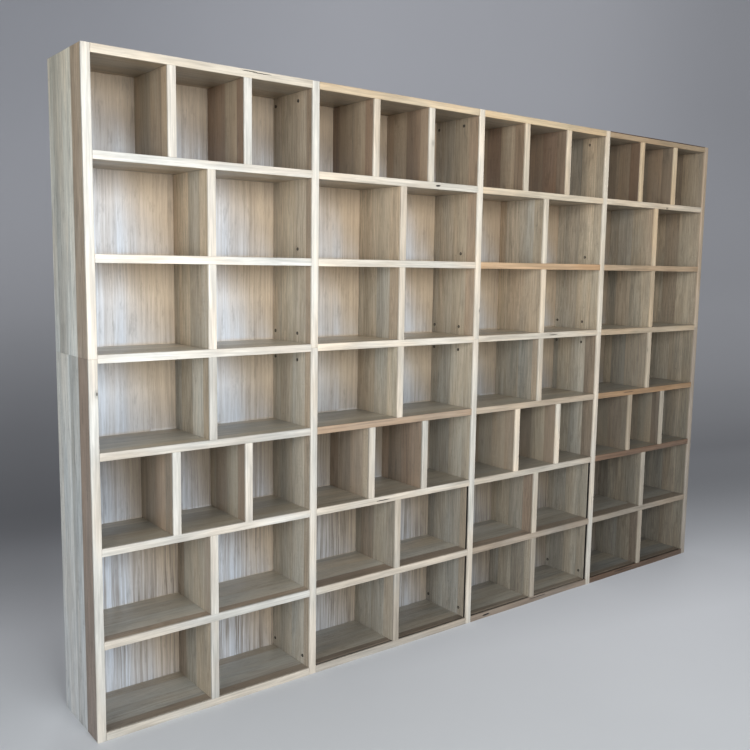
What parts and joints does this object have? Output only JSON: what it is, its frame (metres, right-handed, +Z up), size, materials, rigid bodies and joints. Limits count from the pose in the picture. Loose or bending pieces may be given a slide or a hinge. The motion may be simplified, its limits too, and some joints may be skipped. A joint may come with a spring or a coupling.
{
  "type": "pigeonhole mail sorter",
  "caption": "Free-standing open timber pigeonhole unit with even rows of wide and narrow cells for sorting post, made as stacked cases with inset backs.",
  "frame": {"origin": "bottom centre of the unit's bounding box, on the floor", "axes": "+X along the unit's length to the right as seen from the open front, +Y from the open front to the wall, +Z up"},
  "size_m": [3.47, 0.32, 2.303],
  "materials": {
    "upright_timber": "satin",
    "shelf_timber": "satin",
    "divider_timber": "satin",
    "back_panel_timber": "matt"
  },
  "bodies": {
    "root": {"back_panel_bay_1": "back_panel_timber", "back_panel_bay_2": "back_panel_timber", "back_panel_bay_3": "back_panel_timber", "back_panel_bay_4": "back_panel_timber", "base_board_bay_1": "shelf_timber", "base_board_bay_2": "shelf_timber", "base_board_bay_3": "shelf_timber", "base_board_bay_4": "shelf_timber", "divided_shelf_2_bay_1": "shelf_timber", "divided_shelf_2_bay_2": "shelf_timber", "divided_shelf_2_bay_3": "shelf_timber", "divided_shelf_2_bay_4": "shelf_timber", "divided_shelf_6_bay_1": "shelf_timber", "divided_shelf_6_bay_2": "shelf_timber", "divided_shelf_6_bay_3": "shelf_timber", "divided_shelf_6_bay_4": "shelf_timber", "divider_row_4_bay_1": "divider_timber", "divider_row_4_bay_2": "divider_timber", "divider_row_4_bay_3": "divider_timber", "divider_row_4_bay_4": "divider_timber", "divider_rows_1_2_bay_1": "divider_timber", "divider_rows_1_2_bay_2": "divider_timber", "divider_rows_1_2_bay_3": "divider_timber", "divider_rows_1_2_bay_4": "divider_timber", "divider_rows_5_6_bay_1": "divider_timber", "divider_rows_5_6_bay_2": "divider_timber", "divider_rows_5_6_bay_3": "divider_timber", "divider_rows_5_6_bay_4": "divider_timber", "lower_upright_1": "upright_timber", "lower_upright_2": "upright_timber", "lower_upright_3": "upright_timber", "lower_upright_4": "upright_timber", "lower_upright_5": "upright_timber", "shelf_1_bay_1": "shelf_timber", "shelf_1_bay_2": "shelf_timber", "shelf_1_bay_3": "shelf_timber", "shelf_1_bay_4": "shelf_timber", "shelf_3_bay_1": "shelf_timber", "shelf_3_bay_2": "shelf_timber", "shelf_3_bay_3": "shelf_timber", "shelf_3_bay_4": "shelf_timber", "shelf_4_bay_1": "shelf_timber", "shelf_4_bay_2": "shelf_timber", "shelf_4_bay_3": "shelf_timber", "shelf_4_bay_4": "shelf_timber", "shelf_5_bay_1": "shelf_timber", "shelf_5_bay_2": "shelf_timber", "shelf_5_bay_3": "shelf_timber", "shelf_5_bay_4": "shelf_timber", "top_board_bay_1": "shelf_timber", "top_board_bay_2": "shelf_timber", "top_board_bay_3": "shelf_timber", "top_board_bay_4": "shelf_timber", "upper_upright_1": "upright_timber", "upper_upright_2": "upright_timber", "upper_upright_3": "upright_timber", "upper_upright_4": "upright_timber", "upper_upright_5": "upright_timber"}
  },
  "joints": []
}
